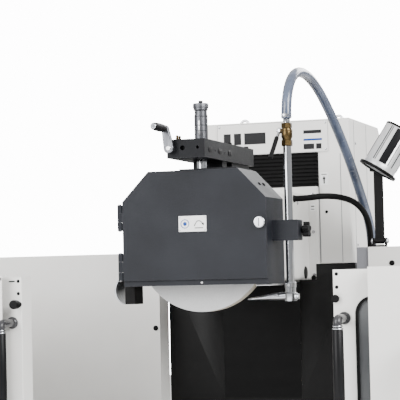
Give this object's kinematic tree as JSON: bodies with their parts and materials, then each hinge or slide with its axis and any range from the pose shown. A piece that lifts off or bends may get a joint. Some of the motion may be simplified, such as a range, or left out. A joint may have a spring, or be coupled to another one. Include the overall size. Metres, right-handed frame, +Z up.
{
  "type": "surface grinder",
  "caption": "Surface grinder with a travelling column, guarded vertical wheel, sliding table with magnetic chuck, dresser, coolant pipe and sliding splash doors.",
  "frame": {"origin": "on the floor under the middle of the machine's footprint", "axes": "+Z up, +X to the operator's right along the table, +Y away from the operator towards the column"},
  "size_m": [2.06, 1.8889, 2.0165],
  "materials": {
    "casting_paint": "hammered enamel",
    "steel": "ground steel",
    "chuck_steel": "ground pole plate",
    "white_paint": "satin powder coat",
    "grey_paint": "satin powder coat",
    "graphite_paint": "fine structure enamel",
    "black_sheet": "black enamel",
    "black_rubber": "pleated cover",
    "black_plastic": "moulded",
    "motor_paint": "enamel",
    "chrome": "polished",
    "brass": "cast and turned",
    "abrasive": "vitrified abrasive",
    "aluminium": "satin",
    "diamond_holder": "ground",
    "hose_pvc": "clear reinforced PVC",
    "lamp_glass": "frosted",
    "window_glass": "tinted polycarbonate",
    "handle_black": "sleeve on steel bends",
    "stop_red": "moulded"
  },
  "bodies": {
    "bed": {"bed_casting": "casting_paint", "levelling_feet": "steel", "bed_ways": "steel", "screw_bearings": "steel", "splash_tray": "white_paint", "back_panels": "white_paint", "seal_post": "grey_paint", "enclosure_panels": "white_paint", "lower_front_panel": "white_paint", "lamp_base": "black_sheet", "control_panel": "white_paint"},
    "table": {"work_table": "steel", "magnetic_chuck": "chuck_steel"},
    "table_screw": {"table_screw": "steel"},
    "cross_screw": {"cross_screw": "steel"},
    "head_screw": {"head_screw": "steel"},
    "column": {"column_saddle": "casting_paint", "column_casting": "casting_paint", "column_cover": "white_paint", "sign_plate": "white_paint", "head_ways": "steel", "apron": "black_sheet", "upper_bellows": "black_rubber", "lower_bellows": "black_rubber", "hose_bracket": "black_sheet"},
    "wheel_head": {"wheel_head": "white_paint", "spindle_motor": "motor_paint", "spindle_bearings": "steel", "guard_body": "graphite_paint", "guard_hinges": "graphite_paint", "spark_shield": "grey_paint", "dresser_mount": "graphite_paint", "dresser_block": "graphite_paint", "pipe_clamp": "graphite_paint", "coolant_pipe": "chrome", "valve_body": "brass", "coolant_hose": "hose_pvc", "power_cable": "black_rubber"},
    "spindle": {"spindle_shaft": "steel", "wheel_flanges": "steel", "grinding_wheel": "abrasive"},
    "guard_door": {"guard_door": "graphite_paint"},
    "guard_lock": {"guard_lock": "chrome"},
    "crank": {"crank_arm": "steel", "crank_grip": "black_plastic"},
    "dresser_carriage": {"dresser_carriage": "aluminium"},
    "dresser_quill": {"dresser_quill": "diamond_holder"},
    "micrometer_knob": {"micrometer_knob": "aluminium"},
    "clamp_knob": {"clamp_knob": "black_plastic"},
    "valve_lever": {"valve_lever": "black_sheet"},
    "nozzle": {"nozzle": "chrome"},
    "left_door": {"left_door": "white_paint", "left_window": "window_glass", "left_handle": "handle_black"},
    "right_door": {"right_door": "white_paint", "right_window": "window_glass", "right_handle": "handle_black"},
    "lamp_arm": {"lamp_arm": "black_sheet"},
    "lamp_head": {"lamp_head": "aluminium"},
    "emergency_stop": {"emergency_stop": "stop_red"}
  },
  "joints": [
    {"name": "table_travel", "type": "slide", "parent": "bed", "child": "table", "axis": [1, 0, 0], "range_m": [-0.4, 0.4]},
    {"name": "cross_travel", "type": "slide", "parent": "bed", "child": "column", "axis": [0, 1, 0], "range_m": [-0.075, 0.26]},
    {"name": "head_travel", "type": "slide", "parent": "column", "child": "wheel_head", "axis": [0, 0, 1], "range_m": [-0.29, 0.06], "deforming": ["upper_bellows", "lower_bellows", "coolant_hose", "power_cable"]},
    {"name": "table_screw_turn", "type": "hinge", "parent": "bed", "child": "table_screw", "pos_m": [0, -0.46, 0.862], "axis": [1, 0, 0], "range_deg": [-14401, 14401]},
    {"name": "cross_screw_turn", "type": "hinge", "parent": "bed", "child": "cross_screw", "pos_m": [0, 0.3, 0.7], "axis": [0, 1, 0], "range_deg": [-2701, 9361]},
    {"name": "head_screw_turn", "type": "hinge", "parent": "column", "child": "head_screw", "pos_m": [0, 0.4, 1.3], "axis": [0, 0, 1], "range_deg": [-10441, 2161]},
    {"name": "spindle_turn", "type": "hinge", "parent": "wheel_head", "child": "spindle", "pos_m": [0, -0.54, 1.56], "axis": [0, 1, 0], "continuous": true},
    {"name": "guard_door_swing", "type": "hinge", "parent": "wheel_head", "child": "guard_door", "pos_m": [-0.20005, -0.618, 1.56], "axis": [0, 0, 1], "range_deg": [-110, 0]},
    {"name": "guard_lock_turn", "type": "hinge", "parent": "guard_door", "child": "guard_lock", "pos_m": [0.176, -0.6206, 1.6087], "axis": [0, 1, 0], "range_deg": [-90, 0]},
    {"name": "crank_turn", "type": "hinge", "parent": "wheel_head", "child": "crank", "pos_m": [-0.039, -0.68, 1.799], "axis": [0, 1, 0], "range_deg": [-1980, 1980]},
    {"name": "dresser_traverse", "type": "slide", "parent": "wheel_head", "child": "dresser_carriage", "axis": [0, 1, 0], "range_m": [-0.028, 0.028]},
    {"name": "quill_lift", "type": "slide", "parent": "dresser_carriage", "child": "dresser_quill", "axis": [0, 0, 1], "range_m": [0, 0.004]},
    {"name": "micrometer_turn", "type": "hinge", "parent": "dresser_carriage", "child": "micrometer_knob", "pos_m": [0, -0.54, 1.91], "axis": [0, 0, 1], "range_deg": [-1, 1441]},
    {"name": "clamp_screw_turn", "type": "hinge", "parent": "wheel_head", "child": "clamp_knob", "pos_m": [0.274, -0.537, 1.588], "axis": [1, 0, 0], "range_deg": [-180, 180]},
    {"name": "valve_lever_turn", "type": "hinge", "parent": "wheel_head", "child": "valve_lever", "pos_m": [0.2107, -0.55, 1.84], "axis": [1, 0, 0], "range_deg": [-51, 39]},
    {"name": "nozzle_swivel", "type": "hinge", "parent": "wheel_head", "child": "nozzle", "pos_m": [0.232, -0.55, 1.43], "axis": [0, 0, 1], "range_deg": [-60, 60]},
    {"name": "left_door_slide", "type": "slide", "parent": "bed", "child": "left_door", "axis": [1, 0, 0], "range_m": [0, 0.395]},
    {"name": "right_door_slide", "type": "slide", "parent": "bed", "child": "right_door", "axis": [-1, 0, 0], "range_m": [0, 0.395]},
    {"name": "lamp_arm_tilt", "type": "hinge", "parent": "bed", "child": "lamp_arm", "pos_m": [0.358, -0.065, 1.564], "axis": [1, 0, 0], "range_deg": [-20, 60]},
    {"name": "lamp_head_tilt", "type": "hinge", "parent": "lamp_arm", "child": "lamp_head", "pos_m": [0.358, -0.065, 1.765], "axis": [1, 0, 0], "range_deg": [-45, 0]},
    {"name": "emergency_stop_press", "type": "slide", "parent": "bed", "child": "emergency_stop", "axis": [0, 1, 0], "range_m": [0, 0.006], "stiffness_N_per_m": 400}
  ],
  "couplings": [
    {"joint": "table_screw_turn", "follows": "table_travel", "rad_per_m": 628.32},
    {"joint": "cross_screw_turn", "follows": "cross_travel", "rad_per_m": 628.32},
    {"joint": "head_screw_turn", "follows": "head_travel", "rad_per_m": 628.32},
    {"joint": "dresser_traverse", "follows": "crank_turn", "m_per_rad": 0.00079577},
    {"joint": "micrometer_turn", "follows": "quill_lift", "rad_per_m": 6283.2}
  ]
}
